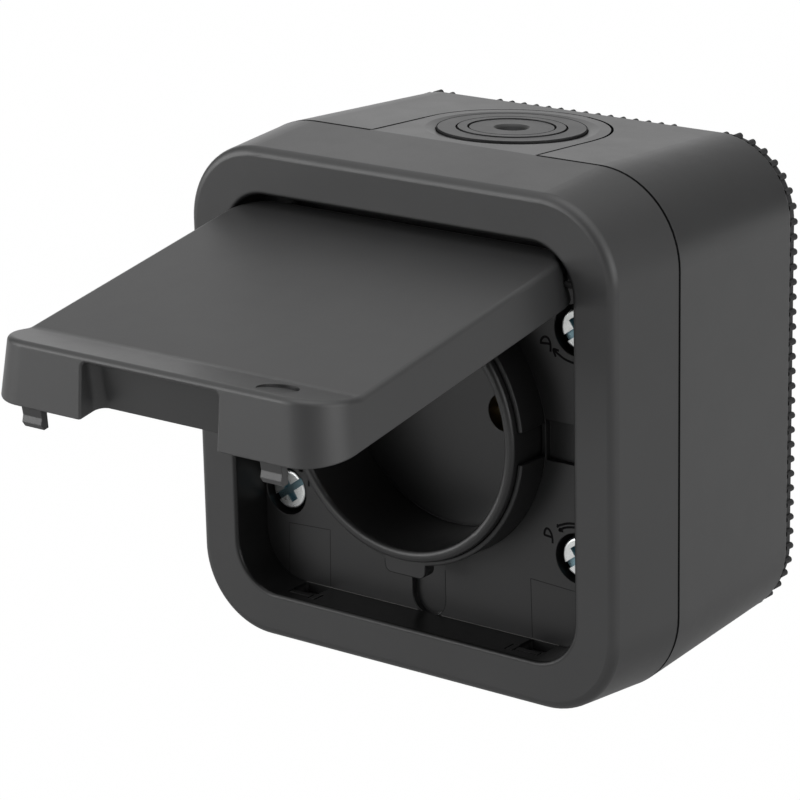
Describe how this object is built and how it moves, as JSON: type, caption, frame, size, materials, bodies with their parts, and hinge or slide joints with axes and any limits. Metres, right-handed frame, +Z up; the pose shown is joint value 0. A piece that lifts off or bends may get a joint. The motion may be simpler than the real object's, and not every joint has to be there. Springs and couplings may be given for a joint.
{
  "type": "outdoor socket outlet",
  "caption": "Surface-mounted weatherproof socket outlet: rounded square box, recessed round well with pin holes, flap lid on a hinge and quarter-turn lock screws.",
  "frame": {"origin": "centre of the wall face, midway between the wall screw holes", "axes": "+Y into the wall, -Y out of the front, +Z up, +X to the right as seen from the front"},
  "size_m": [0.08, 0.1043, 0.08],
  "materials": {
    "housing_plastic": "satin anthracite, fine moulded grain",
    "lid_plastic": "satin anthracite, fine moulded grain",
    "well_plastic": "satin anthracite",
    "grommet_rubber": "matt anthracite",
    "seal_rubber": "matt black",
    "zinc_steel": "bright zinc",
    "plain_steel": "plain steel",
    "contact_brass": "plain",
    "insulator": "matt grey thermoset"
  },
  "bodies": {
    "housing": {"back_box": "housing_plastic", "front_frame": "housing_plastic", "inner_plate": "housing_plastic", "socket_well": "well_plastic", "cable_grommet": "grommet_rubber", "wall_seal": "seal_rubber", "frame_gasket": "seal_rubber", "collar_gasket": "seal_rubber", "screw_seals": "seal_rubber", "insert_screws": "plain_steel", "terminal_screws": "plain_steel", "hinge_pin_left": "plain_steel", "hinge_pin_right": "plain_steel", "live_contact": "contact_brass", "neutral_contact": "contact_brass", "earth_pin": "contact_brass", "contact_base": "insulator", "rear_cover": "insulator"},
    "lid": {"lid": "lid_plastic", "lid_seal": "seal_rubber"},
    "lock_screw_1": {"lock_screw_1": "zinc_steel"},
    "lock_screw_2": {"lock_screw_2": "zinc_steel"},
    "lock_screw_3": {"lock_screw_3": "zinc_steel"},
    "lock_screw_4": {"lock_screw_4": "zinc_steel"}
  },
  "joints": [
    {"name": "lid_hinge", "type": "hinge", "parent": "housing", "child": "lid", "pos_m": [0, -0.04853, 0.02612], "axis": [-1, 0, 0], "range_deg": [-80, 15]},
    {"name": "lock_turn_1", "type": "hinge", "parent": "housing", "child": "lock_screw_1", "pos_m": [-0.0275, -0.0395, 0.0174], "axis": [0, -1, 0], "range_deg": [0, 90]},
    {"name": "lock_turn_2", "type": "hinge", "parent": "housing", "child": "lock_screw_2", "pos_m": [0.0275, -0.0395, 0.0174], "axis": [0, 1, 0], "range_deg": [0, 90]},
    {"name": "lock_turn_3", "type": "hinge", "parent": "housing", "child": "lock_screw_3", "pos_m": [-0.0275, -0.0395, -0.0174], "axis": [0, 1, 0], "range_deg": [0, 90]},
    {"name": "lock_turn_4", "type": "hinge", "parent": "housing", "child": "lock_screw_4", "pos_m": [0.0275, -0.0395, -0.0174], "axis": [0, -1, 0], "range_deg": [0, 90]}
  ]
}
